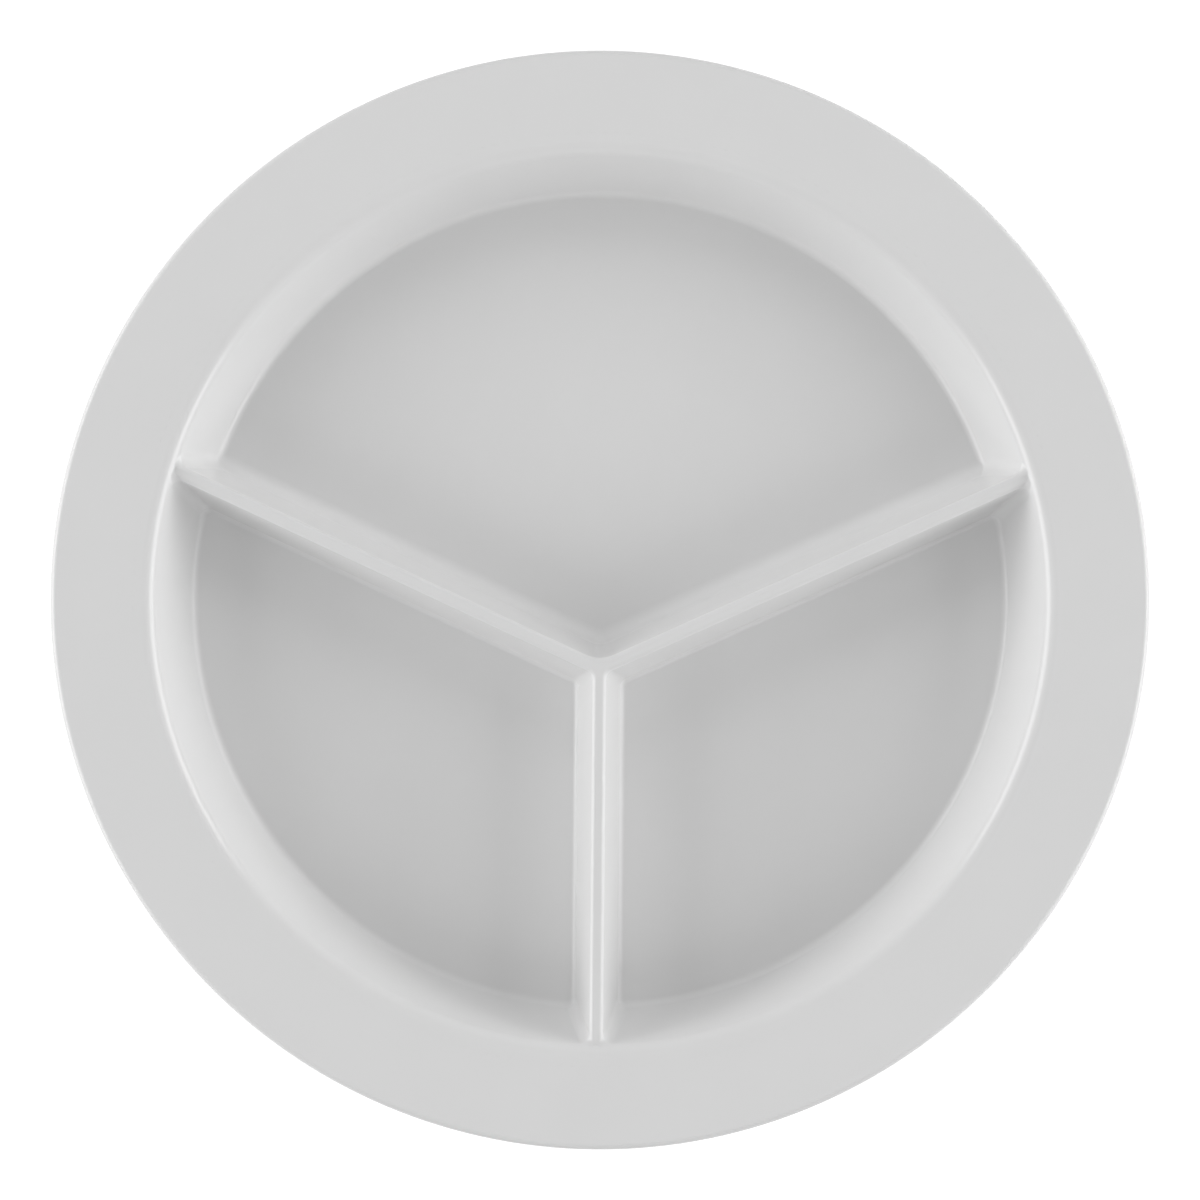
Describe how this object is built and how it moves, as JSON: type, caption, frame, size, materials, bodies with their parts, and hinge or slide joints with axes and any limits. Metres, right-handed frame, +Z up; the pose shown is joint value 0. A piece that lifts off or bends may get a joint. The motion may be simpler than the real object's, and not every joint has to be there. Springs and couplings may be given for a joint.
{
  "type": "divided plate",
  "caption": "Round divided plate with a wide flat rim and a sunken well, split by a Y of moulded dividers into a large main compartment and smaller side compartments.",
  "frame": {"origin": "on the table under the plate's centre, in the plane of the foot ring's standing face", "axes": "+Z up out of the well; the front divider points to -Y and the main compartment lies towards +Y; +X is to the right"},
  "size_m": [0.26, 0.26, 0.024],
  "materials": {
    "melamine": "glossy compression-moulded melamine, off-white"
  },
  "bodies": {
    "root": {"rim": "melamine", "well_wall": "melamine", "main_floor": "melamine", "left_floor": "melamine", "right_floor": "melamine", "left_divider": "melamine", "right_divider": "melamine", "front_divider": "melamine", "divider_hub": "melamine", "foot_ring": "melamine"}
  },
  "joints": []
}
